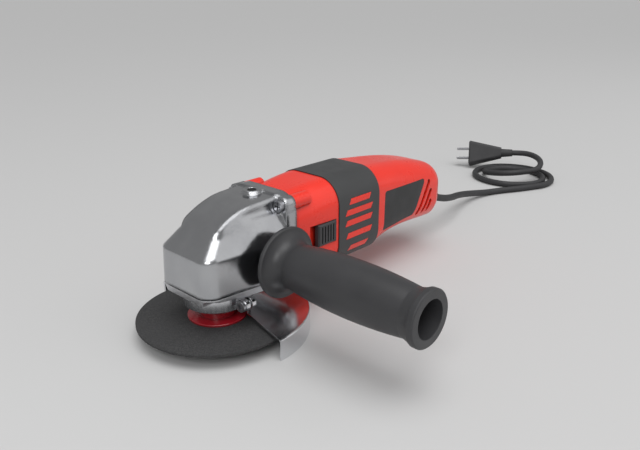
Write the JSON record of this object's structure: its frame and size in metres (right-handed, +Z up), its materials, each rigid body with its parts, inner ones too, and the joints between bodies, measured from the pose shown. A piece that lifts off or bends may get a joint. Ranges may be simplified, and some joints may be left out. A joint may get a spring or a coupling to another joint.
{
  "type": "angle grinder",
  "caption": "Corded angle grinder: polished bevel gear head with disc and guard, red motor housing with slide switch, side handle and mains lead.",
  "frame": {"origin": "centre of the spindle's free lower end", "axes": "+Z up along the spindle, +X along the motor axis towards the tail, -Y towards the side handle"},
  "size_m": [0.6015, 0.2796, 0.0962],
  "materials": {
    "abrasive": "bonded abrasive grit, dark grey",
    "red_enamel": "gloss red enamel on steel",
    "steel": "bright turned steel",
    "bearing_steel": "ground bearing steel",
    "gear_steel": "cut and hardened steel",
    "polished_aluminium": "polished die casting",
    "polished_steel": "polished pressed sheet",
    "black_plastic": "satin black moulded plastic",
    "red_plastic": "gloss red moulded plastic",
    "lamination": "stacked steel laminations",
    "copper": "varnished copper",
    "brass": "folded brass",
    "carbon": "pressed carbon",
    "black_rubber": "matt black rubber",
    "film": "wrapped plastic film"
  },
  "bodies": {
    "housing": {"bearing_cover": "polished_aluminium", "bearing_cover_screws": "steel", "bearing_retainer": "steel", "brush_holders": "brass", "brush_springs": "steel", "capacitor": "film", "carbon_brushes": "carbon", "cord_boot": "black_rubber", "cord_clamp": "black_plastic", "fan_baffle": "black_plastic", "field_coils": "copper", "front_bearing_balls": "bearing_steel", "front_bearing_outer": "bearing_steel", "gear_case": "polished_aluminium", "gear_case_screws": "steel", "handle_stud": "steel", "lock_spring": "steel", "motor_housing": "red_plastic", "needle_bush": "bearing_steel", "plug_blades": "steel", "plug_body": "black_rubber", "power_cord_coil": "black_rubber", "power_cord_end": "black_rubber", "power_cord_lead": "black_rubber", "rear_bearing_balls": "bearing_steel", "rear_bearing_outer": "bearing_steel", "rear_bearing_seat": "black_rubber", "rear_cover_left": "red_plastic", "rear_cover_right": "red_plastic", "rear_cover_screws": "steel", "side_handle": "black_plastic", "side_panel_left": "black_plastic", "side_panel_right": "black_plastic", "spindle_bearing_balls": "bearing_steel", "spindle_bearing_outer": "bearing_steel", "stator_core": "lamination", "switch_body": "black_plastic", "vent_band": "black_plastic"},
    "spindle": {"spindle": "steel", "spindle_bearing_inner": "bearing_steel", "bevel_gear": "gear_steel", "inner_flange": "red_enamel", "grinding_disc": "abrasive", "clamp_nut": "steel"},
    "armature": {"motor_shaft": "steel", "bevel_pinion": "gear_steel", "pinion_nut": "steel", "lock_collar": "steel", "front_bearing_inner": "bearing_steel", "rear_bearing_inner": "bearing_steel", "fan": "black_plastic", "armature_core": "lamination", "armature_windings": "copper", "commutator": "copper"},
    "guard": {"guard": "polished_steel", "guard_screw": "steel"},
    "switch": {"slide_switch": "black_plastic"},
    "spindle_lock": {"spindle_lock_button": "black_plastic"}
  },
  "joints": [
    {"name": "spindle_spin", "type": "hinge", "parent": "housing", "child": "spindle", "pos_m": [0, 0, 0], "axis": [0, 0, 1], "continuous": true},
    {"name": "armature_spin", "type": "hinge", "parent": "housing", "child": "armature", "pos_m": [0, 0, 0.0595], "axis": [1, 0, 0], "continuous": true},
    {"name": "guard_turn", "type": "hinge", "parent": "housing", "child": "guard", "pos_m": [0, 0, 0], "axis": [0, 0, 1], "range_deg": [-90, 90]},
    {"name": "switch_slide", "type": "slide", "parent": "housing", "child": "switch", "axis": [-1, 0, 0], "range_m": [0, 0.006]},
    {"name": "spindle_lock_press", "type": "slide", "parent": "housing", "child": "spindle_lock", "axis": [0, 0, -1], "range_m": [0, 0.0018], "stiffness_N_per_m": 800, "springref_m": -0.001, "deforming": ["lock_spring"]}
  ],
  "couplings": [
    {"joint": "armature_spin", "follows": "spindle_spin", "ratio": 3.1818}
  ]
}
